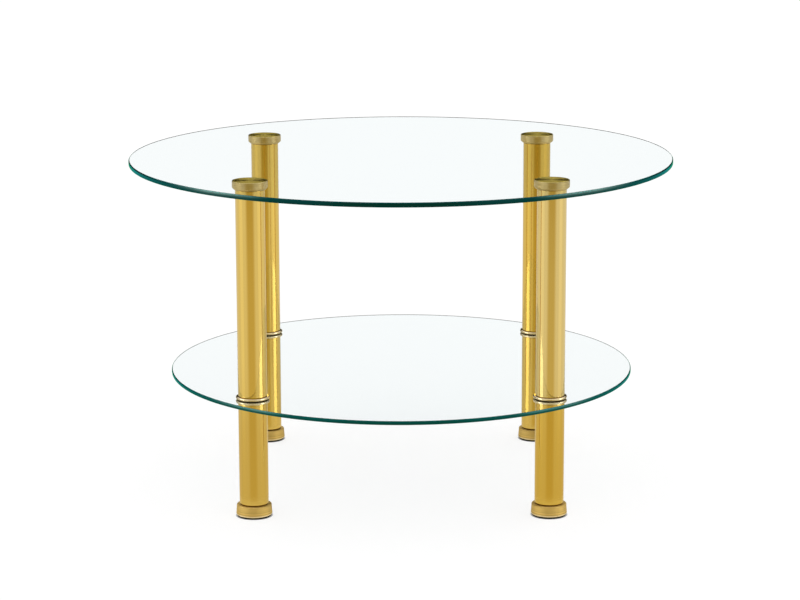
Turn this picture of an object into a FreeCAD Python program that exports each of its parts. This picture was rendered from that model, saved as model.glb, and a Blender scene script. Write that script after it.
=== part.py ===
import FreeCAD
import Part
import Sketcher
import os

# Two-tier round coffee table: a glass top and a smaller glass shelf on four tubular legs.
# Millimetres, +Z up, origin on the floor under the middle of the table.

doc = FreeCAD.newDocument("coffee_table")
V = FreeCAD.Vector

# Driving dimensions: name, value, what it measures. An overhang, inset or clearance is on the radius.
SIZES = [
    ("overall_height", 427, "floor to the upper face of the top glass"),
    ("top_diameter", 700, "top glass across"),
    ("top_thickness", 6, "top glass"),
    ("shelf_diameter", 600, "shelf glass across"),
    ("shelf_thickness", 5, "shelf glass"),
    ("shelf_height", 151, "floor to the upper face of the shelf glass"),
    ("rim_radius", 1.5, "rounding of the ground glass rims"),
    ("leg_inset", 38.4, "leg axes inside the edge of the shelf"),
    ("tube_diameter", 36.5, "leg tube, outside"),
    ("tube_wall", 1.2, "leg tube"),
    ("tube_end_radius", 0.8, "rounding of the tube ends"),
    ("cap_overhang", 3.75, "cap under the top glass, past the tube"),
    ("cap_height", 10.5, "cap without its spigot"),
    ("cap_taper_width", 2.2, "how far the cap's lower edge draws in"),
    ("cap_taper_height", 2.2, "height of that taper"),
    ("cap_edge", 0.4, "chamfer round the cap's upper face"),
    ("cap_roof", 5, "metal left over the cap's blind tapped hole"),
    ("spigot_height", 6, "spigot that locates the cap in the tube"),
    ("spigot_clearance", 0.1, "between spigot and tube bore"),
    ("bond_thickness", 0.2, "adhesive film on the cap"),
    ("bond_inset", 0.5, "adhesive film inside the cap's edge"),
    ("collar_overhang", 2.8, "bead disc at the shelf, past the tube"),
    ("collar_height", 3.2, "bead disc"),
    ("collar_flat", 0.4, "straight band left between the two roundings of the bead"),
    ("gasket_inset", 1.2, "rubber washer inside the collar's edge"),
    ("gasket_thickness", 0.4, "rubber washer"),
    ("ring_clearance", 0.25, "between the stud and the collars and washers that it passes through"),
    ("bush_wall", 2, "nylon sleeve in the drilled shelf"),
    ("hole_clearance", 0.25, "between sleeve and drilled glass"),
    ("stud_diameter", 10, "M10 studs, over the thread"),
    ("stud_chamfer", 1, "ends of the studs"),
    ("insert_height", 14, "tapped plug welded in a tube end"),
    ("insert_setback", 0.5, "gap between the cap's spigot and the plug under it"),
    ("cap_stud_reach", 12, "thread of the cap's stud in its plug"),
    ("shelf_stud_reach", 16, "thread of the shelf's stud past each tube end"),
    ("foot_overhang", 3.55, "upper edge of the foot, past the tube"),
    ("foot_flare", 0.8, "how much wider the foot is at the floor"),
    ("foot_height", 13.2, "foot cup"),
    ("foot_base_chamfer", 0.7, "lower edge of the foot"),
    ("foot_top_chamfer", 0.8, "upper edge of the foot"),
    ("foot_seam", 1, "lip of the lower plug, which keeps tube and foot apart"),
    ("foot_stud_depth", 7, "how far the stud is fixed in the foot"),
    ("foot_stud_length", 45, "whole stud"),
    ("thread_clearance", 0.05, "between foot stud and plug"),
    ("pad_inset", 1.6, "rubber glide inside the foot's lower edge"),
    ("pad_thickness", 3.8, "rubber glide"),
    ("pad_recess", 1.6, "depth of the foot's recess for the glide"),
    ("pad_clearance", 0.15, "between glide and recess"),
]
sizes = doc.addObject("Spreadsheet::Sheet", "Sizes")
for row, (alias, value, meaning) in enumerate(SIZES, start=1):
    sizes.set(f"A{row}", meaning)
    sizes.set(f"B{row}", str(value))
    sizes.setAlias(f"B{row}", alias)

# Radii and heights that follow from them
FOLLOWING = [
    ("leg_offset", "(Sizes.shelf_diameter / 2 - Sizes.leg_inset) / sqrt(2)"),
    ("tube_radius", "Sizes.tube_diameter / 2"),
    ("bore_radius", "tube_radius - Sizes.tube_wall"),
    ("stud_radius", "Sizes.stud_diameter / 2"),
    ("ring_bore", "stud_radius + Sizes.ring_clearance"),
    ("bush_radius", "stud_radius + Sizes.bush_wall"),
    ("cap_radius", "tube_radius + Sizes.cap_overhang"),
    ("bond_radius", "cap_radius - Sizes.bond_inset"),
    ("collar_radius", "tube_radius + Sizes.collar_overhang"),
    ("collar_round", "(Sizes.collar_height - Sizes.collar_flat) / 2"),
    ("gasket_radius", "collar_radius - Sizes.gasket_inset"),
    ("foot_top_radius", "tube_radius + Sizes.foot_overhang"),
    ("foot_base_radius", "foot_top_radius + Sizes.foot_flare"),
    ("pad_radius", "foot_base_radius - Sizes.pad_inset"),
    ("top_underside", "Sizes.overall_height - Sizes.top_thickness"),
    ("cap_top", "top_underside - Sizes.bond_thickness"),
    ("cap_base", "cap_top - Sizes.cap_height"),
    ("cap_hole_top", "Sizes.cap_height - Sizes.cap_roof"),
    ("top_insert_base", "cap_base - Sizes.spigot_height - Sizes.insert_setback - Sizes.insert_height"),
    ("cap_stud_base", "top_insert_base + Sizes.insert_height - Sizes.cap_stud_reach"),
    ("cap_stud_length", "cap_base + cap_hole_top - cap_stud_base"),
    ("upper_collar_base", "Sizes.shelf_height + Sizes.gasket_thickness"),
    ("upper_tube_base", "upper_collar_base + Sizes.collar_height"),
    ("upper_tube_length", "cap_base - upper_tube_base"),
    ("shelf_underside", "Sizes.shelf_height - Sizes.shelf_thickness"),
    ("lower_gasket_base", "shelf_underside - Sizes.gasket_thickness"),
    ("lower_tube_top", "lower_gasket_base - Sizes.collar_height"),
    ("shelf_stud_base", "lower_tube_top - Sizes.shelf_stud_reach"),
    ("shelf_stud_length", "upper_tube_base - lower_tube_top + 2 * Sizes.shelf_stud_reach"),
    ("foot_base", "Sizes.pad_thickness - Sizes.pad_recess"),
    ("foot_top", "foot_base + Sizes.foot_height"),
    ("foot_stud_base", "foot_top - Sizes.foot_stud_depth"),
    ("lower_tube_base", "foot_top + Sizes.foot_seam"),
    ("lower_tube_length", "lower_tube_top - lower_tube_base"),
    ("lower_top_insert_base", "lower_tube_top - Sizes.insert_height"),
]
levels = doc.addObject("Spreadsheet::Sheet", "Levels")
for row, (alias, formula) in enumerate(FOLLOWING, start=1):
    levels.set(f"A{row}", alias.replace("_", " "))
    levels.set(f"B{row}", f"={formula}")
    levels.setAlias(f"B{row}", alias)
doc.recompute()

# Where the legs stand, as signs of the leg offset along X and Y
LEGS = {
    "front_left": (-1, -1),
    "front_right": (1, -1),
    "back_left": (-1, 1),
    "back_right": (1, 1),
}

# How a sketch names its own axes and origin, and the points of a line or a circle
H_AXIS = -1
V_AXIS = -2
ROOT = (-1, 1)
START = 1
END = 2
CENTRE = 3

pieces = []


def new_body(label, height, leg=None):
    """An empty body standing at a height, on a leg's axis or in the middle of the table."""
    body = doc.addObject("PartDesign::Body", label)
    body.Label = label
    body.setExpression("Placement.Base.z", height)
    if leg is not None:
        x_sign, y_sign = LEGS[leg]
        body.setExpression("Placement.Base.x", f"{x_sign} * Levels.leg_offset")
        body.setExpression("Placement.Base.y", f"{y_sign} * Levels.leg_offset")
    return body


def new_sketch(body, name, plane):
    """A sketch on one of the body's own origin planes."""
    sketch = body.newObject("Sketcher::SketchObject", name)
    support = [f for f in body.Origin.OriginFeatures if f.Role == plane][0]
    sketch.AttachmentSupport = [(support, "")]
    sketch.MapMode = "FlatFace"
    return sketch


def hold(sketch, kind, line, axis, expression):
    """Ties one coordinate of a line's first point: to the axis it lies on, or at a distance."""
    if expression == "0":
        sketch.addConstraint(Sketcher.Constraint("PointOnObject", line, START, axis))
        return
    value = doc.Sizes.evalExpression(expression)
    made = sketch.addConstraint(Sketcher.Constraint(kind, *ROOT, line, START, value))
    sketch.setExpression(f"Constraints[{made}]", expression)


def turned(label, outline, height, leg=None):
    """A turned piece: its half section, as (radius, height) corners, spun about its own axis."""
    body = new_body(label, height, leg)
    sketch = new_sketch(body, label + "_section", "XZ_Plane")
    corners = [V(doc.Sizes.evalExpression(r), doc.Sizes.evalExpression(z), 0) for r, z in outline]
    for start, end in zip(corners, corners[1:] + corners[:1]):
        sketch.addGeometry(Part.LineSegment(start, end), False)
    count = len(corners)
    for line in range(count):
        following = (line + 1) % count
        sketch.addConstraint(Sketcher.Constraint("Coincident", line, END, following, START))
    for line, (radius, rise) in enumerate(outline):
        hold(sketch, "DistanceX", line, V_AXIS, radius)
        hold(sketch, "DistanceY", line, H_AXIS, rise)
    spun = body.newObject("PartDesign::Revolution", label + "_turned")
    spun.Profile = sketch
    spun.ReferenceAxis = (sketch, ["V_Axis"])
    spun.Angle = 360
    doc.recompute()
    return body


def circle(sketch, radius, centre=None):
    """A circle in a sketch, on the sketch's origin or at a centre given by two expressions."""
    x, y = (0, 0) if centre is None else [doc.Sizes.evalExpression(c) for c in centre]
    size = doc.Sizes.evalExpression(radius)
    drawn = sketch.addGeometry(Part.Circle(V(x, y, 0), V(0, 0, 1), size), False)
    if centre is None:
        sketch.addConstraint(Sketcher.Constraint("Coincident", drawn, CENTRE, *ROOT))
    else:
        for kind, value, expression in (("DistanceX", x, centre[0]), ("DistanceY", y, centre[1])):
            made = sketch.addConstraint(Sketcher.Constraint(kind, *ROOT, drawn, CENTRE, value))
            sketch.setExpression(f"Constraints[{made}]", expression)
    made = sketch.addConstraint(Sketcher.Constraint("Radius", drawn, size))
    sketch.setExpression(f"Constraints[{made}]", radius)


def padded(body, sketch, length):
    """The sketch raised along Z by a length."""
    pad = body.newObject("PartDesign::Pad", body.Label + "_pad")
    pad.Profile = sketch
    pad.setExpression("Length", length)
    doc.recompute()
    return pad


def rounded_ends(body, feature, radius_of_edge, rounding):
    """Rounds the circular edges of one radius at both ends of a round piece."""
    wanted = doc.Sizes.evalExpression(radius_of_edge)
    edges = [
        f"Edge{number}"
        for number, edge in enumerate(feature.Shape.Edges, start=1)
        if isinstance(edge.Curve, Part.Circle) and abs(edge.Curve.Radius - wanted) < 1e-6
    ]
    fillet = body.newObject("PartDesign::Fillet", body.Label + "_rounding")
    fillet.Base = (feature, edges)
    fillet.setExpression("Radius", rounding)
    doc.recompute()
    return fillet


def tube(label, length, height, leg):
    """A length of leg tube with its outer end edges rounded."""
    body = new_body(label, height, leg)
    sketch = new_sketch(body, label + "_ring", "XY_Plane")
    circle(sketch, "Levels.tube_radius")
    circle(sketch, "Levels.bore_radius")
    pad = padded(body, sketch, length)
    rounded_ends(body, pad, "Levels.tube_radius", "Sizes.tube_end_radius")
    return body


def disc(label, radius, thickness, height, leg):
    """A plain disc: adhesive film or rubber glide."""
    outline = [("0", "0"), (radius, "0"), (radius, thickness), ("0", thickness)]
    return turned(label, outline, height, leg)


def washer(label, inner, outer, thickness, height, leg):
    """A plain ring: washer, sleeve, collar or tapped plug."""
    outline = [(inner, "0"), (outer, "0"), (outer, thickness), (inner, thickness)]
    return turned(label, outline, height, leg)


def plug(label, height, leg):
    """A tapped plug, welded in the end of a tube."""
    return washer(label, "Levels.stud_radius", "Levels.bore_radius", "Sizes.insert_height", height, leg)


def stud(label, length, height, leg):
    """A stud with chamfered ends, drawn over its thread."""
    shoulder = "Levels.stud_radius - Sizes.stud_chamfer"
    outline = [
        ("0", "0"),
        (shoulder, "0"),
        ("Levels.stud_radius", "Sizes.stud_chamfer"),
        ("Levels.stud_radius", f"{length} - Sizes.stud_chamfer"),
        (shoulder, length),
        ("0", length),
    ]
    return turned(label, outline, height, leg)


def group(label, members):
    """Identical pieces, one on each leg, kept together as one group of separate solids."""
    compound = doc.addObject("Part::Compound", label)
    compound.Label = label
    compound.Links = members
    doc.recompute()
    return compound


# Glass top: a plain disc with its ground rim rounded
top_glass = new_body("top_glass", "Levels.top_underside")
top_disc = new_sketch(top_glass, "top_glass_disc", "XY_Plane")
circle(top_disc, "Sizes.top_diameter / 2")
top_pad = padded(top_glass, top_disc, "Sizes.top_thickness")
rounded_ends(top_glass, top_pad, "Sizes.top_diameter / 2", "Sizes.rim_radius")
pieces.append(top_glass)

# Glass shelf: a smaller disc, drilled for the stud of each leg
shelf_glass = new_body("shelf_glass", "Levels.shelf_underside")
shelf_disc = new_sketch(shelf_glass, "shelf_glass_disc", "XY_Plane")
circle(shelf_disc, "Sizes.shelf_diameter / 2")
shelf_pad = padded(shelf_glass, shelf_disc, "Sizes.shelf_thickness")
shelf_rim = rounded_ends(shelf_glass, shelf_pad, "Sizes.shelf_diameter / 2", "Sizes.rim_radius")
drilling = new_sketch(shelf_glass, "shelf_glass_hole", "XY_Plane")
circle(drilling, "Levels.bush_radius + Sizes.hole_clearance", ("Levels.leg_offset", "Levels.leg_offset"))
hole = shelf_glass.newObject("PartDesign::Pocket", "shelf_glass_drilled")
hole.Profile = drilling
hole.Type = "ThroughAll"
hole.Reversed = True
doc.recompute()
if hole.Shape.Volume >= shelf_rim.Shape.Volume:
    raise RuntimeError("the shelf's drilling cut nothing")
holes = shelf_glass.newObject("PartDesign::PolarPattern", "shelf_glass_holes")
holes.Originals = [hole]
holes.Axis = (drilling, ["N_Axis"])
holes.Angle = 360
holes.Occurrences = len(LEGS)
shelf_glass.Tip = holes
doc.recompute()
pieces.append(shelf_glass)

# Caps: a turned disc bonded to the top glass, with a spigot in the tube and a blind tapped hole
spigot_radius = "Levels.bore_radius - Sizes.spigot_clearance"
cap_outline = [
    ("Levels.stud_radius", "-Sizes.spigot_height"),
    (spigot_radius, "-Sizes.spigot_height"),
    (spigot_radius, "0"),
    ("Levels.cap_radius - Sizes.cap_taper_width", "0"),
    ("Levels.cap_radius", "Sizes.cap_taper_height"),
    ("Levels.cap_radius", "Sizes.cap_height - Sizes.cap_edge"),
    ("Levels.cap_radius - Sizes.cap_edge", "Sizes.cap_height"),
    ("0", "Sizes.cap_height"),
    ("0", "Levels.cap_hole_top"),
    ("Levels.stud_radius", "Levels.cap_hole_top"),
]
for leg in LEGS:
    pieces.append(turned(f"top_cap_{leg}", cap_outline, "Levels.cap_base", leg))

# Adhesive: a thin cured film between each cap and the top glass
films = [
    disc(f"bond_film_{leg}", "Levels.bond_radius", "Sizes.bond_thickness", "Levels.cap_top", leg)
    for leg in LEGS
]
pieces.append(group("bond_films", films))

# Cap studs: from the cap's blind hole down into the plug in the tube
cap_studs = [
    stud(f"cap_stud_{leg}", "Levels.cap_stud_length", "Levels.cap_stud_base", leg)
    for leg in LEGS
]
pieces.append(group("cap_studs", cap_studs))

# Upper tubes, with a tapped plug in each end
for leg in LEGS:
    pieces.append(tube(f"upper_tube_{leg}", "Levels.upper_tube_length", "Levels.upper_tube_base", leg))
    pieces.append(plug(f"upper_tube_top_insert_{leg}", "Levels.top_insert_base", leg))
    pieces.append(plug(f"upper_tube_base_insert_{leg}", "Levels.upper_tube_base", leg))

# Collars: a bead-edged disc that seats each tube on the shelf, one above the glass and one below it
collar_places = {"upper": "Levels.upper_collar_base", "lower": "Levels.lower_tube_top"}
for side, height in collar_places.items():
    for leg in LEGS:
        label = f"{side}_collar_{leg}"
        collar = washer(
            label, "Levels.ring_bore", "Levels.collar_radius", "Sizes.collar_height", height, leg
        )
        rounded_ends(collar, collar.Tip, "Levels.collar_radius", "Levels.collar_round")
        pieces.append(collar)

# Shelf joint: a rubber washer on each face of the glass, a nylon sleeve in its hole, a stud through all
gasket_places = {"upper": "Sizes.shelf_height", "lower": "Levels.lower_gasket_base"}
for side, height in gasket_places.items():
    gaskets = []
    for leg in LEGS:
        label = f"{side}_gasket_{leg}"
        gasket = washer(
            label, "Levels.ring_bore", "Levels.gasket_radius", "Sizes.gasket_thickness", height, leg
        )
        gaskets.append(gasket)
    pieces.append(group(f"{side}_gaskets", gaskets))
bushes = []
for leg in LEGS:
    label = f"shelf_bush_{leg}"
    base = "Levels.shelf_underside"
    bush = washer(label, "Levels.stud_radius", "Levels.bush_radius", "Sizes.shelf_thickness", base, leg)
    bushes.append(bush)
pieces.append(group("shelf_bushes", bushes))
shelf_studs = [
    stud(f"shelf_stud_{leg}", "Levels.shelf_stud_length", "Levels.shelf_stud_base", leg)
    for leg in LEGS
]
pieces.append(group("shelf_studs", shelf_studs))

# Lower tubes: a tapped plug under the shelf, and a lipped plug at the foot that the foot's stud turns in
thread_radius = "Levels.stud_radius + Sizes.thread_clearance"
lip_radius = "Levels.tube_radius - Sizes.tube_end_radius"
lipped_height = "Sizes.foot_seam + Sizes.insert_height"
lipped_outline = [
    (thread_radius, "0"),
    (lip_radius, "0"),
    (lip_radius, "Sizes.foot_seam"),
    ("Levels.bore_radius", "Sizes.foot_seam"),
    ("Levels.bore_radius", lipped_height),
    (thread_radius, lipped_height),
]
for leg in LEGS:
    pieces.append(tube(f"lower_tube_{leg}", "Levels.lower_tube_length", "Levels.lower_tube_base", leg))
    pieces.append(plug(f"lower_tube_top_insert_{leg}", "Levels.lower_top_insert_base", leg))
    pieces.append(turned(f"lower_tube_base_insert_{leg}", lipped_outline, "Levels.foot_top", leg))

# Feet: a turned cup with a fixed stud, and a rubber glide in its underside
recess_radius = "Levels.pad_radius + Sizes.pad_clearance"
stud_seat = "Sizes.foot_height - Sizes.foot_stud_depth"
foot_outline = [
    ("0", "Sizes.pad_recess"),
    (recess_radius, "Sizes.pad_recess"),
    (recess_radius, "0"),
    ("Levels.foot_base_radius - Sizes.foot_base_chamfer", "0"),
    ("Levels.foot_base_radius", "Sizes.foot_base_chamfer"),
    ("Levels.foot_top_radius", "Sizes.foot_height - Sizes.foot_top_chamfer"),
    ("Levels.foot_top_radius - Sizes.foot_top_chamfer", "Sizes.foot_height"),
    ("Levels.stud_radius", "Sizes.foot_height"),
    ("Levels.stud_radius", stud_seat),
    ("0", stud_seat),
]
for leg in LEGS:
    pieces.append(turned(f"foot_cup_{leg}", foot_outline, "Levels.foot_base", leg))
    pieces.append(stud(f"foot_stud_{leg}", "Sizes.foot_stud_length", "Levels.foot_stud_base", leg))
    pieces.append(disc(f"foot_pad_{leg}", "Levels.pad_radius", "Sizes.pad_thickness", "0", leg))

doc.recompute()

# Everything is checked before anything is written
for made in doc.Objects:
    if "Invalid" in made.State or "Error" in made.State:
        raise RuntimeError(f"{made.Label} failed: {made.State}")
for piece in pieces:
    if piece.Shape.isNull() or not piece.Shape.isValid():
        raise RuntimeError(f"{piece.Label} has no valid shape")

os.makedirs("parts", exist_ok=True)
for piece in pieces:
    piece.Shape.exportStep(f"parts/{piece.Label}.step")
print(len(pieces), "nodes,", sum(len(p.Shape.Solids) for p in pieces), "solids")
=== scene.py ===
import bmesh
import bpy
from math import pi, radians
from mathutils import Matrix, Vector


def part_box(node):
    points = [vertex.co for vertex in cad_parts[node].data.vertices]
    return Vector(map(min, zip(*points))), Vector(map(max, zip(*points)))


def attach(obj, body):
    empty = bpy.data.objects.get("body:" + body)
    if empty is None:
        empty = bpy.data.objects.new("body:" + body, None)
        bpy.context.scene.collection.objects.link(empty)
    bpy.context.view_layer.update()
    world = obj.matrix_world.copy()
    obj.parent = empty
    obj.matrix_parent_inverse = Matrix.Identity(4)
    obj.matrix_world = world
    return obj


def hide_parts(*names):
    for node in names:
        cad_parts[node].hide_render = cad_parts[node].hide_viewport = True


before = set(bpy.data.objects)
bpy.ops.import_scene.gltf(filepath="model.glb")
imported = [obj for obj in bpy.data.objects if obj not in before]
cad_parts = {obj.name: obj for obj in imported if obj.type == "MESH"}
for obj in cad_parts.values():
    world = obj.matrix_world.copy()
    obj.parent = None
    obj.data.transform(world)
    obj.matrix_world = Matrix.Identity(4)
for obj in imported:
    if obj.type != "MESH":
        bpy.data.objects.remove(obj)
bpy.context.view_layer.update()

# Camera
# It stands where the photograph was taken: in front of the table and above its top, with a long lens.
# The lens follows from the focal length measured in pixels of the 800 pixel wide picture.
picture_width = 800
focal_pixels = 2703
pixels_off_centre = 1.156
sensor_width = 36
farthest_shown = 100
eye = (0, -3.4496, 0.9777)
tilt_down = radians(12.134)
turn_left = pixels_off_centre / focal_pixels
roll = -0.0024
swing = Matrix.Rotation(turn_left, 3, "Z")
dip = Matrix.Rotation(pi / 2 - tilt_down, 3, "X")
aim = swing @ dip @ Matrix.Rotation(roll, 3, "Z")
bpy.ops.object.select_all(action="DESELECT")
bpy.ops.object.camera_add(location=eye, rotation=aim.to_euler())
camera = bpy.context.object
camera.data.sensor_width = sensor_width
camera.data.lens = focal_pixels / picture_width * sensor_width
camera.data.clip_end = farthest_shown
bpy.context.scene.camera = camera

# Glides
# A black rubber disc let into the underside of each foot, moulded with a rounded edge and pressed in.
# It is the only part of the table that touches the floor.
LEGS = ("front_left", "front_right", "back_left", "back_right")
FIRST = LEGS[0]
MM = 0.001
size_decimals = 5
same_place = 1e-6
rounding_segments = 6
turning_steps = 128
soft_edge = radians(32)


def middle(node):
    """The upright axis of a round piece, as the point where it meets the floor."""
    low, high = map(Vector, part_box(node))
    return Vector(((low.x + high.x) / 2, (low.y + high.y) / 2, 0))


def radius_of(node):
    """Half the width of a round piece."""
    low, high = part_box(node)
    return round((high[0] - low[0]) / 2, size_decimals)


def levels_of(node):
    """The heights of the underside and the upper face of a piece."""
    low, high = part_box(node)
    return round(low[2], size_decimals), round(high[2], size_decimals)


axis = {leg: middle(f"upper_tube_{leg}") for leg in LEGS}


def pick(piece):
    """Makes a piece the only one selected, and the active one."""
    bpy.ops.object.select_all(action="DESELECT")
    piece.select_set(True)
    bpy.context.view_layer.objects.active = piece


def choose(*places):
    """Selects the points at some places on the piece in edit mode."""
    bpy.ops.mesh.select_mode(type="VERT")
    bpy.ops.mesh.select_all(action="DESELECT")
    shape = bmesh.from_edit_mesh(bpy.context.object.data)
    for point in shape.verts:
        point.select_set(any((point.co - place).length < same_place for place in places))
    shape.select_flush_mode()
    bmesh.update_edit_mesh(bpy.context.object.data)


def outlined(name, outline, centre, closed=False):
    """A line of points in edit mode: the half section of a round piece, as (radius, height, rounding)."""
    bpy.ops.object.select_all(action="DESELECT")
    bpy.ops.mesh.primitive_plane_add(size=MM, enter_editmode=True)
    bpy.context.object.name = name
    bpy.ops.mesh.select_mode(type="VERT")
    bpy.ops.mesh.select_all(action="SELECT")
    bpy.ops.mesh.merge(type="CENTER")
    corners = [centre + Vector((radius, 0, height)) for radius, height, _ in outline]
    bpy.ops.transform.translate(value=corners[0])
    for start, end in zip(corners, corners[1:]):
        bpy.ops.mesh.extrude_vertices_move(TRANSFORM_OT_translate={"value": end - start})
    if closed:
        choose(corners[0], corners[-1])
        bpy.ops.mesh.edge_face_add()
    for corner, (_, _, rounding) in zip(corners, outline):
        if rounding:
            choose(corner)
            bpy.ops.mesh.bevel(offset=rounding, segments=rounding_segments, affect="VERTICES")


def completed(edge):
    """The piece out of edit mode, its faces pointing outwards and smooth across bends under an angle."""
    bpy.ops.mesh.select_all(action="SELECT")
    bpy.ops.mesh.normals_make_consistent(inside=False)
    bpy.ops.object.mode_set(mode="OBJECT")
    bpy.ops.object.shade_smooth_by_angle(angle=edge)
    piece = bpy.context.object
    piece.data.name = piece.name
    return piece


def turned(name, outline, centre, closed=False, steps=turning_steps):
    """A turned piece: its half section spun about an upright axis, with its seam and poles closed."""
    outlined(name, outline, centre, closed)
    bpy.ops.mesh.select_all(action="SELECT")
    bpy.ops.mesh.spin(steps=steps, angle=2 * pi, center=centre, axis=(0, 0, 1))
    bpy.ops.mesh.select_all(action="SELECT")
    bpy.ops.mesh.remove_doubles(threshold=same_place)
    bpy.ops.mesh.delete_loose(use_verts=True, use_edges=True, use_faces=False)
    return completed(soft_edge)


def on_every_leg(piece, kind):
    """The same piece on the other three legs, each copy with a mesh of its own."""
    twins = {FIRST: piece}
    for leg in LEGS[1:]:
        pick(piece)
        bpy.ops.object.duplicate()
        twin = bpy.context.object
        twin.name = twin.data.name = f"{kind}_{leg}"
        bpy.ops.transform.translate(value=axis[leg] - axis[FIRST])
        bpy.ops.object.transform_apply(location=True, rotation=False, scale=False)
        twins[leg] = twin
    return twins


class Wire:
    """A shader socket that can be used in sums: an expression on it adds the Math nodes."""

    def __init__(self, socket):
        self.socket = socket
        self.tree = socket.id_data

    def node(self, kind, settings=None, inputs=None, output=0):
        """A new node of a kind, with its settings first and then the values or links of its sockets."""
        made = self.tree.nodes.new("ShaderNode" + kind)
        for name, value in (settings or {}).items():
            setattr(made, name, value)
        for key, value in (inputs or {}).items():
            if isinstance(value, Wire):
                self.tree.links.new(value.socket, made.inputs[key])
            else:
                made.inputs[key].default_value = value
        return Wire(made.outputs[output])

    def math(self, operation, first, second=0):
        return self.node("Math", {"operation": operation}, {0: first, 1: second})

    def __add__(self, other):
        return self.math("ADD", self, other)

    def __sub__(self, other):
        return self.math("SUBTRACT", self, other)

    def __rsub__(self, other):
        return self.math("SUBTRACT", other, self)

    def __mul__(self, other):
        return self.math("MULTIPLY", self, other)

    def __truediv__(self, other):
        return self.math("DIVIDE", self, other)

    def __pow__(self, other):
        return self.math("POWER", self, other)

    def __abs__(self):
        return self.math("ABSOLUTE", self)

    __radd__ = __add__
    __rmul__ = __mul__

    def between(self, low, high):
        """0 below low, 1 above high, and a smooth rise between them."""
        settings = {"interpolation_type": "SMOOTHSTEP"}
        return self.node("MapRange", settings, {"Value": self, "From Min": low, "From Max": high})

    def blend(self, first, second):
        """The first colour where this is 0, the second where it is 1."""
        # The colour sockets share their names with those for numbers, so they go by their places.
        return self.node("Mix", {"data_type": "RGBA"}, {0: self, 6: first, 7: second}, output=2)

    def noise(self, scale, detail):
        """A cloudy pattern, from 0 to 1, on this vector, with about so many patches a metre."""
        return self.node("TexNoise", inputs={"Vector": self, "Scale": scale, "Detail": detail})

    def stretched(self, x, y, z):
        """This vector scaled along each axis."""
        return self.node("Mapping", inputs={"Vector": self, "Scale": (x, y, z)})

    def parts(self):
        """The three numbers of this vector."""
        split = self.node("SeparateXYZ", inputs={0: self}).socket.node
        return [Wire(number) for number in split.outputs]

    def bump(self, height, strength=1):
        """A surface normal that follows this pattern, with its height in metres."""
        return self.node("Bump", inputs={"Height": self, "Distance": height, "Strength": strength})

    def into(self, socket):
        self.tree.links.new(self.socket, socket)


def new_finish(name, **constants):
    """A material with its shader's constant values set, and the place on the piece that its patterns read."""
    finish = bpy.data.materials.new(name)
    finish.use_nodes = True
    shader = finish.node_tree.nodes["Principled BSDF"]
    for socket, value in constants.items():
        shader.inputs[socket.replace("_", " ")].default_value = value
    place = Wire(shader.outputs["BSDF"]).node("TexCoord", output="Object")
    return finish, shader, place


def dress(piece, finish, slot, body, *nodes):
    """Gives a finished piece its material and the body it moves with, and hides the nodes it stands for. The
    slot is not used.
    """
    piece.data.materials.append(finish)
    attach(piece, body)
    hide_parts(*nodes)


rubber_dark = (0.006, 0.006, 0.006, 1)
rubber_light = (0.016, 0.015, 0.014, 1)
rubber_grain = 0.03 * MM
rubber, rubber_shader, place = new_finish("black_rubber", Specular_IOR_Level=0.2)
grain = place.noise(900, detail=4)
cloud = place.noise(60, detail=2)
cloud.blend(rubber_dark, rubber_light).into(rubber_shader.inputs["Base Color"])
(0.62 + 0.2 * grain).into(rubber_shader.inputs["Roughness"])
grain.bump(rubber_grain).into(rubber_shader.inputs["Normal"])

glide_radius = radius_of(f"foot_pad_{FIRST}")
glide_base, glide_top = levels_of(f"foot_pad_{FIRST}")
glide_edge = 0.5 * MM
glide_outline = [
    (0, glide_base, 0),
    (glide_radius, glide_base, glide_edge),
    (glide_radius, glide_top, glide_edge),
    (0, glide_top, 0),
]
glide = turned(f"rubber_glide_{FIRST}", glide_outline, axis[FIRST])
for leg, piece in on_every_leg(glide, "rubber_glide").items():
    dress(piece, rubber, "black_rubber", f"glide_{leg}", f"foot_pad_{leg}")

# Feet
# A cup turned from steel bar and plated satin gold, a little wider at the floor, with both edges chamfered.
# Its underside is recessed for the glide, and the levelling stud is fixed in its upper face.
foot_light = (0.73, 0.515, 0.166, 1)
foot_dark = (0.53, 0.376, 0.109, 1)
# Painted highlight: a pale cream band low on the side of each foot, for the light its lower edge catches.
painted_highlight = (0.82, 0.68, 0.41, 1)
painted_highlight_fade = (-0.2 * MM, 0.3 * MM)
coarse_marks = 700
fine_marks = 6000
mark_height = 0.02 * MM
rings_on_face = 0.7
leg_offset = abs(axis[FIRST].x)


def from_leg(place):
    """How far a place is from the axis of the nearest leg."""
    x, y, _ = place.parts()
    across = abs(x) - leg_offset
    along = abs(y) - leg_offset
    return (across * across + along * along) ** 0.5


def satin_gold(name, dark, light, smoothest, highlight_below=0, **constants):
    """Plated gold over fine turning marks, in rings. Below a given height it carries a painted highlight: a
    pale cream band for the light that its lower edge catches.
    """
    finish, shader, place = new_finish(name, Metallic=1, **constants)
    height = place.parts()[2]
    rings = height + rings_on_face * from_leg(place)
    one_way = {"noise_dimensions": "1D"}
    coarse = place.node("TexNoise", one_way, {"W": rings, "Scale": coarse_marks, "Detail": 3})
    fine = place.node("TexNoise", one_way, {"W": rings, "Scale": fine_marks, "Detail": 2})
    cloud = place.noise(45, detail=3)
    marks = 0.7 * coarse + 0.3 * fine
    tone = marks.between(0.3, 0.7).blend(dark, light)
    # The pale band below that height is a painted highlight.
    highlighted = (height - highlight_below).between(*painted_highlight_fade).blend(painted_highlight, tone)
    highlighted.into(shader.inputs["Base Color"])
    (smoothest + 0.16 * marks + 0.06 * cloud).into(shader.inputs["Roughness"])
    marks.bump(mark_height, strength=0.6).into(shader.inputs["Normal"])
    return finish


foot_radius = radius_of(f"foot_cup_{FIRST}")
foot_base, foot_top = levels_of(f"foot_cup_{FIRST}")
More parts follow.
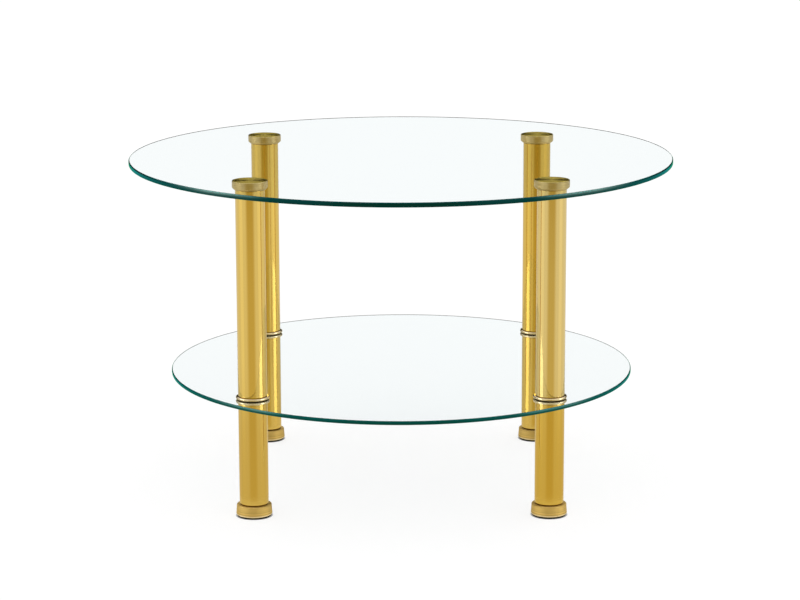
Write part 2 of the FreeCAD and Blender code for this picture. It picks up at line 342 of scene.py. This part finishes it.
# The painted highlight on the foot reaches this far up from its underside.
highlight_height = 1.7 * MM
foot_satin = satin_gold(
    "foot_satin", foot_dark, foot_light, smoothest=0.5, highlight_below=foot_base + highlight_height
)

foot_draft = 0.8 * MM
foot_base_chamfer = 0.7 * MM
foot_top_chamfer = 0.8 * MM
foot_edge_break = 0.15 * MM
glide_clearance = 0.15 * MM
stud_radius = radius_of(f"foot_stud_{FIRST}")
stud_base, stud_top = levels_of(f"foot_stud_{FIRST}")
recess = glide_radius + glide_clearance
shoulder = foot_radius - foot_draft
# A point a little way up and down the side keeps it straight between its two softened edges.
side_start = 0.35 * MM
side_draft = 0.03 * foot_draft
foot_outline = [
    (0, glide_top, 0),
    (recess, glide_top, 0),
    (recess, foot_base, 0),
    (foot_radius - foot_base_chamfer, foot_base, foot_edge_break),
    (foot_radius, foot_base + foot_base_chamfer, foot_edge_break),
    (foot_radius - side_draft, foot_base + foot_base_chamfer + side_start, 0),
    (shoulder + side_draft, foot_top - foot_top_chamfer - side_start, 0),
    (shoulder, foot_top - foot_top_chamfer, foot_edge_break),
    (shoulder - foot_top_chamfer, foot_top, foot_edge_break),
    (stud_radius, foot_top, 0),
    (stud_radius, stud_base, 0),
    (0, stud_base, 0),
]
foot = turned(f"foot_shell_{FIRST}", foot_outline, axis[FIRST])
for leg, piece in on_every_leg(foot, "foot_shell").items():
    dress(piece, foot_satin, "satin_gold", f"foot_{leg}", f"foot_cup_{leg}")

# Levelling studs
# A length of M10 threaded rod in bright zinc, fixed in the foot, that screws in and out of the leg.
# The thread is cut as one helix and the ends are cropped square.
thread_pitch = 1.5 * MM
thread_depth = 0.9 * MM
thread_flat = thread_pitch / 8
thread_steps = 24
thread_edge = radians(30)
spare_turns = 2

zinc_dark = (0.50, 0.51, 0.52, 1)
zinc_light = (0.68, 0.68, 0.67, 1)
spangle_height = 0.01 * MM
steel, steel_shader, place = new_finish("plain_steel", Metallic=1)
cloud = place.noise(120, detail=4)
spangle = place.noise(1500, detail=2)
cloud.blend(zinc_dark, zinc_light).into(steel_shader.inputs["Base Color"])
(0.24 + 0.2 * cloud + 0.08 * spangle).into(steel_shader.inputs["Roughness"])
spangle.bump(spangle_height).into(steel_shader.inputs["Normal"])


def threaded(name, low, high, centre):
    """A threaded rod: one tooth wound up a helix, then cropped at both ends and closed."""
    root = stud_radius - thread_depth
    start = low - spare_turns * thread_pitch
    tooth = [
        (root, start, 0),
        (stud_radius, start + thread_pitch / 2 - thread_flat, 0),
        (stud_radius, start + thread_pitch / 2, 0),
        (root, start + thread_pitch - thread_flat, 0),
        (root, start + thread_pitch, 0),
    ]
    outlined(name, tooth, Vector())
    bpy.ops.object.mode_set(mode="OBJECT")
    bpy.ops.object.modifier_add(type="SCREW")
    winding = bpy.context.object.modifiers[-1]
    winding.screw_offset = thread_pitch
    winding.iterations = round((high - low) / thread_pitch) + 2 * spare_turns
    winding.steps = winding.render_steps = thread_steps
    winding.use_merge_vertices = True
    winding.merge_threshold = same_place
    bpy.ops.object.modifier_apply(modifier=winding.name)
    bpy.ops.object.mode_set(mode="EDIT")
    bpy.ops.mesh.select_all(action="SELECT")
    bpy.ops.mesh.remove_doubles(threshold=same_place)
    for height, outwards in ((low, (0, 0, -1)), (high, (0, 0, 1))):
        bpy.ops.mesh.select_all(action="SELECT")
        bpy.ops.mesh.bisect(
            plane_co=(0, 0, height),
            plane_no=outwards,
            use_fill=True,
            clear_outer=True,
            threshold=same_place,
        )
    bpy.ops.mesh.select_all(action="SELECT")
    bpy.ops.transform.translate(value=centre)
    return completed(thread_edge)


levelling_stud = threaded(f"levelling_stud_{FIRST}", stud_base, stud_top, axis[FIRST])
for leg, piece in on_every_leg(levelling_stud, "levelling_stud").items():
    dress(piece, steel, "plain_steel", f"foot_{leg}", f"foot_stud_{leg}")

# Lower legs
# Steel tube, polished and plated bright gold, with its end edges rounded over. A tapped steel plug is
# welded in each end: the lower one has a lip that keeps the tube just clear of the foot.
# Painted shade: a dark brown band at each end of a tube, for the shadowed seam where it meets a bead, a cap
# or a foot.
seam_shade = (0.20, 0.10, 0.003, 1)
seam_shade_fade = (0.3 * MM, 1.1 * MM)
streak_scale = (260, 260, 3)
streak_height = 0.004 * MM
left_to_right = (-0.19, 0.19)
front_to_back = (-0.1, 0.1)


def mottled(name, dark, light, patches, detail, smoothest, spread, **constants):
    """A finish in two close tones, in soft patches of so many a metre, and duller where it is lighter."""
    finish, shader, place = new_finish(name, **constants)
    cloud = place.noise(patches, detail)
    cloud.blend(dark, light).into(shader.inputs["Base Color"])
    (smoothest + spread * cloud).into(shader.inputs["Roughness"])
    return finish


def refinish(node, finish):
    """Gives a better finish to a piece that keeps its construction shape."""
    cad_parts[node].data.materials[0] = finish


def polished(name, node, front, back, smoothest):
    """Bright plating: faint streaks along it, a tone of its own on each leg, and painted shade at both ends,
    a dark brown band for the seams where the tube meets the next part.
    """
    finish, shader, place = new_finish(name, Metallic=1)
    base, top = levels_of(node)
    x, y, z = place.parts()
    streak = place.stretched(*streak_scale).noise(1, detail=3)
    smear = place.noise(35, detail=4)
    across = 0.8 * x.between(*left_to_right) + 0.2 * streak
    tone = y.between(*front_to_back).blend(across.blend(*front), across.blend(*back))
    # The darkening near both ends is painted shade for the seams.
    clear_of_seam_shade = (z - base).between(*seam_shade_fade) * (top - z).between(*seam_shade_fade)
    clear_of_seam_shade.blend(seam_shade, tone).into(shader.inputs["Base Color"])
    (smoothest + 0.05 * streak + 0.04 * smear).into(shader.inputs["Roughness"])
    streak.bump(streak_height, strength=0.5).into(shader.inputs["Normal"])
    return finish


# Each pair of tones is for the left and the right leg.
# The lower tones are a deeper gold than the upper ones: painted shade, for the dimmer floor that the lower
# tubes mirror.
lower_front = (0.74, 0.51, 0.125, 1), (0.74, 0.49, 0.09, 1)
lower_back = (0.76, 0.525, 0.13, 1), (0.74, 0.51, 0.125, 1)
lower_gold = polished("lower_gold", f"lower_tube_{FIRST}", lower_front, lower_back, smoothest=0.08)
# The lower plugs are black oxide steel. Their lip shows in the seam above each foot, and its brown tint is
# painted shade for that seam.
oxide_and_shade_dark = (0.080, 0.034, 0.001, 1)
oxide_and_shade_light = (0.150, 0.074, 0.004, 1)
oxide_and_seam_shade = mottled(
    "black_oxide_with_seam_shade", oxide_and_shade_dark, oxide_and_shade_light,
    patches=150, detail=4, smoothest=0.4, spread=0.25, Metallic=1,
)

tube_wall = 1.2 * MM
tube_end_radius = 0.8 * MM
true_from_end = tube_end_radius + 0.2 * MM


def leg_tube(name, node):
    """A length of leg tube, open at both ends. The points beside the roundings keep its side true."""
    outer = radius_of(node)
    base, top = levels_of(node)
    bore = outer - tube_wall
    outline = [
        (bore, base, 0),
        (outer, base, tube_end_radius),
        (outer, base + true_from_end, 0),
        (outer, top - true_from_end, 0),
        (outer, top, tube_end_radius),
        (bore, top, 0),
    ]
    return turned(name, outline, axis[FIRST], closed=True)


lower_tube = leg_tube(f"lower_leg_{FIRST}", f"lower_tube_{FIRST}")
for leg, piece in on_every_leg(lower_tube, "lower_leg").items():
    dress(piece, lower_gold, "polished_gold", "table", f"lower_tube_{leg}")
    refinish(f"lower_tube_top_insert_{leg}", steel)
    refinish(f"lower_tube_base_insert_{leg}", oxide_and_seam_shade)

# Shelf joint
# A bead-edged disc, polished with the tubes, seats each tube end on the shelf, one above and one below.
# A rubber washer is between disc and glass, and one stud through a nylon sleeve pulls the tubes together.
bead_dark = (0.71, 0.58, 0.33, 1)
bead_light = (0.79, 0.67, 0.42, 1)
bead_gold = mottled(
    "bead_gold", bead_dark, bead_light,
    patches=90, detail=4, smoothest=0.07, spread=0.08, Metallic=1,
)
# The rubber washers are tinted dark brown as painted shade, for the gold-lit shadow gap between each bead and
# the glass.
washer_gap_shade_dark = (0.028, 0.016, 0.001, 1)
washer_gap_shade_light = (0.055, 0.034, 0.002, 1)
washer = mottled(
    "rubber_with_gap_shade", washer_gap_shade_dark, washer_gap_shade_light,
    patches=150, detail=3, smoothest=0.6, spread=0.25, Specular_IOR_Level=0.1,
)
nylon_dark = (0.70, 0.69, 0.64, 1)
nylon_light = (0.80, 0.79, 0.75, 1)
nylon = mottled(
    "white_nylon", nylon_dark, nylon_light,
    patches=200, detail=3, smoothest=0.38, spread=0.15, IOR=1.53,
)

bead_clearance = 0.25 * MM
bead_bore = stud_radius + bead_clearance
bead_round = 1.4 * MM


def bead(name, node):
    """A disc with a rounded edge and a bore that clears the stud."""
    outer = radius_of(node)
    base, top = levels_of(node)
    outline = [
        (bead_bore, base, 0),
        (outer, base, bead_round),
        (outer, top, bead_round),
        (bead_bore, top, 0),
    ]
    return turned(name, outline, axis[FIRST], closed=True)


for side in ("lower", "upper"):
    first_bead = bead(f"{side}_bead_{FIRST}", f"{side}_collar_{FIRST}")
    for leg, piece in on_every_leg(first_bead, f"{side}_bead").items():
        dress(piece, bead_gold, "polished_gold", "table", f"{side}_collar_{leg}")
    refinish(f"{side}_gaskets", washer)
refinish("shelf_bushes", nylon)

joint_base, joint_top = levels_of("shelf_studs")
joint_stud = threaded(f"joint_stud_{FIRST}", joint_base, joint_top, axis[FIRST])
for leg, piece in on_every_leg(joint_stud, "joint_stud").items():
    dress(piece, steel, "plain_steel", "table", "shelf_studs")

# Shelf
# A disc of clear float glass, its rim ground round and polished, drilled for the four studs. It mirrors at a
# glance, and its iron shows as blue-green where the light runs the long way through it.
rim_radius = 1.5 * MM
rim_flat = 0.1 * MM
rim_steps = 360
hole_radius = 7.25 * MM
hole_steps = 64
drill_overrun = MM
dry_gap = 0.02 * MM
glass_bends = 1.5
mirror_share = 0.135
glance_range = (0.066, 0.25)
tint_from_above = (0.909, 0.926, 0.928, 1)
tint_at_a_glance = (0.957, 0.9745, 0.977, 1)
rim_gloss = (0.04, 0.8, 0.76, 1)
white = (1, 1, 1, 1)
shelf_rim_deep = (0.002, 0.066, 0.051, 1)
# The paler rim tones are painted light, from the legs and from above.
shelf_rim_painted_light = (0.14, 0.28, 0.25, 1)


def output_of(finish):
    return finish.node_tree.nodes["Material Output"].inputs["Surface"]


glass, _, place = new_finish("clear_glass")
mirror = place.node("BsdfGlossy", inputs={"Color": white, "Roughness": 0})
steep, slant = (
    place.node("BsdfRefraction", inputs={"Color": tint, "Roughness": 0, "IOR": glass_bends})
    for tint in (tint_from_above, tint_at_a_glance)
)
inside = place.node("NewGeometry", output="Backfacing")
glance = place.node("Fresnel", inputs={"IOR": glass_bends}).between(*glance_range)
through = place.node("MixShader", inputs={0: glance, 1: steep, 2: slant})
sheen = mirror_share * glance * (1 - inside)
face = place.node("MixShader", inputs={0: sheen, 1: through, 2: mirror})
face.into(output_of(glass))

# The legs stand at this share of a pane's radius to the left and right; the rim about them carries painted
# light from them, stronger along its upper half.
leg_share = 0.63
leg_light_reach = (0.03, 0.19)
lit_upper_rim = (0.35, 0.85)


def glass_rim(name, node, deep, light, open_inside):
    """The ground rim of a pane, dark with the colour of the glass, with painted light: paler where a leg
    stands near it, mostly along its upper half.
    """
    finish, shader, place = new_finish(name, Roughness=0.3, Specular_IOR_Level=0)
    base, top = levels_of(node)
    reach = radius_of(node)
    x, _, z = place.parts()
    leg_light = 1 - (abs(abs(x) - leg_share * reach) / reach).between(*leg_light_reach)
    rise = (z - base) / (top - base)
    upper = rise.between(*lit_upper_rim)
    drift = place.noise(14, detail=3)
    # Painted light: the glow of a nearby leg on the rim, and a slight lightening of its upper half.
    tone = leg_light * drift * (0.15 + 1.1 * upper) + 0.02 * upper * drift
    tone.blend(deep, light).into(shader.inputs["Base Color"])
    polish = place.node("BsdfGlossy", inputs={"Color": rim_gloss, "Roughness": 0.08})
    glance = place.node("Fresnel", inputs={"IOR": glass_bends})
    inside = place.node("NewGeometry", output="Backfacing")
    ground = Wire(shader.outputs["BSDF"])
    rim = place.node("MixShader", inputs={0: glance * (1 - inside), 1: ground, 2: polish})
    clear = place.node("BsdfTransparent")
    rim = place.node("MixShader", inputs={0: open_inside * inside, 1: rim, 2: clear})
    rim.into(output_of(finish))
    return finish


def pane(name, node, lowered=0):
    """A round sheet of glass with a rounded rim. The narrow flat beside the rounding keeps the faces true."""
    outer = radius_of(node)
    base, top = levels_of(node)
    base += lowered
    top -= lowered
    flat = outer - rim_radius - rim_flat
    outline = [
        (0, base, 0),
        (flat, base, 0),
        (outer, base, rim_radius),
        (outer, top, rim_radius),
        (flat, top, 0),
        (0, top, 0),
    ]
    return turned(name, outline, Vector(), steps=rim_steps)


def drilled(piece, node):
    """The piece with a hole for each leg's stud cut through it."""
    base, top = levels_of(node)
    drill_outline = [
        (0, base - drill_overrun, 0),
        (hole_radius, base - drill_overrun, 0),
        (hole_radius, top + drill_overrun, 0),
        (0, top + drill_overrun, 0),
    ]
    for leg in LEGS:
        drill = turned("drill", drill_outline, axis[leg], steps=hole_steps)
        pick(piece)
        bpy.ops.object.modifier_add(type="BOOLEAN")
        cut = piece.modifiers[-1]
        cut.operation = "DIFFERENCE"
        cut.object = drill
        bpy.ops.object.modifier_apply(modifier=cut.name)
        bpy.data.objects.remove(drill)
    bpy.ops.object.shade_smooth_by_angle(angle=soft_edge)


def edged(piece, finish):
    """Gives the rim and the walls of any holes a second finish, by the way their faces point."""
    nearly_level = 0.97
    piece.data.materials.append(finish)
    for face in piece.data.polygons:
        face.material_index = int(abs(face.normal.z) < nearly_level)


shelf = pane("shelf_pane", "shelf_glass", lowered=dry_gap)
drilled(shelf, "shelf_glass")
dress(shelf, glass, "clear_glass", "table", "shelf_glass")
edged(shelf, glass_rim("shelf_rim", "shelf_glass", shelf_rim_deep, shelf_rim_painted_light, open_inside=0.3))

# Upper legs
# The same plated tube as below the shelf, with a tapped plug welded in each end.
upper_front = (0.80, 0.56, 0.145, 1), (0.79, 0.595, 0.225, 1)
upper_back = (0.80, 0.555, 0.130, 1), (0.75, 0.50, 0.095, 1)
upper_gold = polished("upper_gold", f"upper_tube_{FIRST}", upper_front, upper_back, smoothest=0.05)
upper_tube = leg_tube(f"upper_leg_{FIRST}", f"upper_tube_{FIRST}")
for leg, piece in on_every_leg(upper_tube, "upper_leg").items():
    dress(piece, upper_gold, "polished_gold", "table", f"upper_tube_{leg}")
    for end in ("top", "base"):
        refinish(f"upper_tube_{end}_insert_{leg}", steel)

# Caps
# A turned satin gold disc on each leg, with a tapered lower edge. Its spigot sits in the tube, and a stud
# from its blind tapped hole holds it to the plug.
cap_light = (0.75, 0.585, 0.265, 1)
cap_dark = (0.59, 0.455, 0.195, 1)
brushed_round = 0.25
cap_satin = satin_gold(
    "cap_satin", cap_dark, cap_light,
    smoothest=0.18, Anisotropic=0.6, Anisotropic_Rotation=brushed_round,
)

cap_radius = radius_of(f"top_cap_{FIRST}")
spigot_base, cap_top = levels_of(f"top_cap_{FIRST}")
cap_base = levels_of(f"upper_tube_{FIRST}")[1]
spigot_clearance = 0.1 * MM
spigot_radius = radius_of(f"upper_tube_{FIRST}") - tube_wall - spigot_clearance
cap_taper_width = 2.2 * MM
cap_taper_height = 2.2 * MM
cap_taper_round = 0.2 * MM
cap_edge = 0.4 * MM
cap_edge_round = 0.1 * MM
cap_stud_base, cap_hole_top = levels_of("cap_studs")
# These two points keep the side true between the roundings.
cap_side_base = cap_base + cap_taper_height + 0.4 * MM
cap_side_top = cap_top - cap_edge - 0.3 * MM
cap_outline = [
    (stud_radius, spigot_base, 0),
    (spigot_radius, spigot_base, 0),
    (spigot_radius, cap_base, 0),
    (cap_radius - cap_taper_width, cap_base, cap_taper_round),
    (cap_radius, cap_base + cap_taper_height, cap_taper_round),
    (cap_radius, cap_side_base, 0),
    (cap_radius, cap_side_top, 0),
    (cap_radius, cap_top - cap_edge, cap_edge_round),
    (cap_radius - cap_edge, cap_top, cap_edge_round),
    (0, cap_top, 0),
    (0, cap_hole_top, 0),
    (stud_radius, cap_hole_top, 0),
]
cap = turned(f"cap_disc_{FIRST}", cap_outline, axis[FIRST], closed=True)
for leg, piece in on_every_leg(cap, "cap_disc").items():
    dress(piece, cap_satin, "satin_gold", "table", f"top_cap_{leg}")

cap_stud = threaded(f"cap_screw_{FIRST}", cap_stud_base, cap_hole_top, axis[FIRST])
for leg, piece in on_every_leg(cap_stud, "cap_screw").items():
    dress(piece, steel, "plain_steel", "table", "cap_studs")

# Bonds
# A film of clear adhesive, cured between each cap and the top glass. It wets both faces, so what shows
# through the glass is the turned gold face of the cap under it.
film_light = (0.95, 0.74, 0.18, 1)
film_dark = (0.80, 0.60, 0.11, 1)
film_wetting = 0.02 * MM
film_inset = 0.5 * MM
bonded = satin_gold(
    "bonded_gold", film_dark, film_light,
    smoothest=0.13, Anisotropic=0.9, Anisotropic_Rotation=brushed_round,
)
film_radius = cap_radius - film_inset
film_base, film_top = levels_of("bond_films")
film_outline = [
    (0, film_base, 0),
    (film_radius, film_base, 0),
    (film_radius, film_top + film_wetting, 0),
    (0, film_top + film_wetting, 0),
]
film = turned(f"bond_{FIRST}", film_outline, axis[FIRST])
for leg, piece in on_every_leg(film, "bond").items():
    dress(piece, bonded, "clear_adhesive", "table", "bond_films")

# Top
# A larger disc of the same glass, not drilled, bonded to the four caps.
top_rim_deep = (0.001, 0.022, 0.019, 1)
top_rim_painted_light = (0.27, 0.41, 0.36, 1)
top = pane("top_pane", "top_glass")
dress(top, glass, "clear_glass", "table", "top_glass")
edged(top, glass_rim("top_rim", "top_glass", top_rim_deep, top_rim_painted_light, open_inside=0.05))

# Floor
# A wide pale floor that goes over into the white behind it. It keeps the soft shadow of the table and a dark
# line where a glide meets it, shows in the metal only near the feet, and is clear from below.
floor_width = 80
floor_tone = (0.24, 0.24, 0.24, 1)
floor_in_metal = (0.6, 0.56, 0.42, 1)
floor_in_view = 0.8
floor_in_glass = 0.94
floor_by_foot = (0.08, 0.115)
contact_reach = 3 * MM
black = (0, 0, 0, 1)
bpy.ops.object.select_all(action="DESELECT")
bpy.ops.mesh.primitive_plane_add(size=floor_width)
floor = bpy.context.object
floor.name = "floor"
floor_finish, floor_shader, place = new_finish(
    "pale_floor", Base_Color=floor_tone, Roughness=1, Specular_IOR_Level=0, Emission_Strength=1
)
direct = place.node("LightPath", output="Is Camera Ray")
through_glass = place.node("LightPath", output="Is Transmission Ray")
in_metal = place.node("LightPath", output="Glossy Depth").between(0, 1)
by_foot = 1 - from_leg(place).between(*floor_by_foot)
open_floor = place.node("AmbientOcclusion", inputs={"Distance": contact_reach}, output="AO") ** 2
seen = open_floor * (floor_in_view * direct + floor_in_glass * through_glass)
glow = in_metal.blend(seen.blend(black, white), floor_in_metal)
glow.into(floor_shader.inputs["Emission Color"])
from_below = place.node("NewGeometry", output="Backfacing")
((1 - in_metal * (1 - by_foot)) * (1 - from_below)).into(floor_shader.inputs["Alpha"])
floor.data.materials.append(floor_finish)

# Studio
# A white room for the metal to mirror, with a darker side where the camera stands and a soft box to the left
# and right of it. Past the floor and through the glass it is plain white, and a pane mirrors its dark wall.
dark_wall = (0.026, 0.019, 0.006, 1)
ceiling = (1.1, 1.09, 1.14, 1)
high_wall = (0.95, 0.95, 0.95, 1)
high_front = (0.40, 0.32, 0.14, 1)
box_cloth = (1.6, 1.57, 1.5, 1)
box_lamp = (6.2, 6.2, 6.4, 1)
low_wall = (0.86, 0.85, 0.83, 1)
low_rear = (0.84, 0.84, 0.83, 1)
low_box = (1.0, 0.99, 0.95, 1)
warm_front = (0.66, 0.57, 0.30, 1)
warm_front_upper = (0.50, 0.39, 0.12, 1)
floor_round = (0.75, 0.69, 0.50, 1)
floor_front = (0.69, 0.60, 0.32, 1)
deep_floor = (0.88, 0.83, 0.66, 1)
deep_front = (0.60, 0.52, 0.28, 1)
deep_box = (1.12, 1.08, 0.95, 1)
underfoot = (0.55, 0.48, 0.30, 1)

studio = bpy.data.worlds.new("studio")
bpy.context.scene.world = studio
studio.use_nodes = True
sky = studio.node_tree.nodes["Background"].inputs["Color"]
way = Wire(sky).node("TexCoord", output="Generated")
bounces = way.node("LightPath", output="Glossy Depth")
singular = way.node("LightPath", output="Is Singular Ray")
reflected = way.node("LightPath", output="Is Reflection Ray")
# A pane mirrors without blur. The lamp is left out from the third mirroring on.
in_metal = bounces.between(0, 1)
in_pane = singular * reflected * (1 - bounces.between(1, 2))
lamp_shows = 1 - bounces.between(2, 3)
x, y, z = way.parts()
bearing = abs(way.math("ARCTAN2", x, 0 - y))


def past(first, last):
    """0 up to the first bearing from the camera's side, in degrees, and 1 from the last one on."""
    return bearing.between(radians(first), radians(last))


front = 1 - past(16, 42)
box = past(56, 66) * (1 - past(84, 96))
rear = past(95, 125)
behind = past(145, 168)

# Heights are those of the way a ray goes: -1 is straight down, 0 level and 1 straight up.
above_level = z.between(-0.04, 0.04)
above_lamp_foot = z.between(0.08, 0.12)
above_lamp_head = z.between(0.30, 0.36)
above_walls = z.between(0.3, 0.45)
above_warm_band = z.between(-0.2, -0.15)
above_floor_line = z.between(-0.252, -0.245)
above_deep_floor = z.between(-0.6, -0.4)
above_underfoot = z.between(-0.97, -0.92)

floor_side = front.blend(floor_round, floor_front)
deep_side = front.blend(deep_floor, deep_front)
deep_side = box.blend(deep_side, deep_box)
deep_side = behind.blend(deep_side, deep_front)
low_side = front.blend(low_wall, above_warm_band.blend(warm_front, warm_front_upper))
low_side = box.blend(low_side, low_box)
low_side = rear.blend(low_side, low_rear)
low_side = behind.blend(low_side, warm_front)
low_side = above_floor_line.blend(floor_side, low_side)
low_side = above_deep_floor.blend(deep_side, low_side)
low_side = above_underfoot.blend(underfoot, low_side)
lamp = above_lamp_foot * (1 - above_lamp_head) * lamp_shows
high_side = front.blend(high_wall, high_front)
high_side = box.blend(high_side, lamp.blend(box_cloth, box_lamp))
high_side = rear.blend(high_side, dark_wall)
high_side = above_walls.blend(high_side, ceiling)
high_side = in_pane.blend(high_side, dark_wall)
mirrored = above_level.blend(low_side, high_side)
in_metal.blend(white, mirrored).into(sky)

scene = bpy.context.scene
scene.view_settings.view_transform = "Standard"
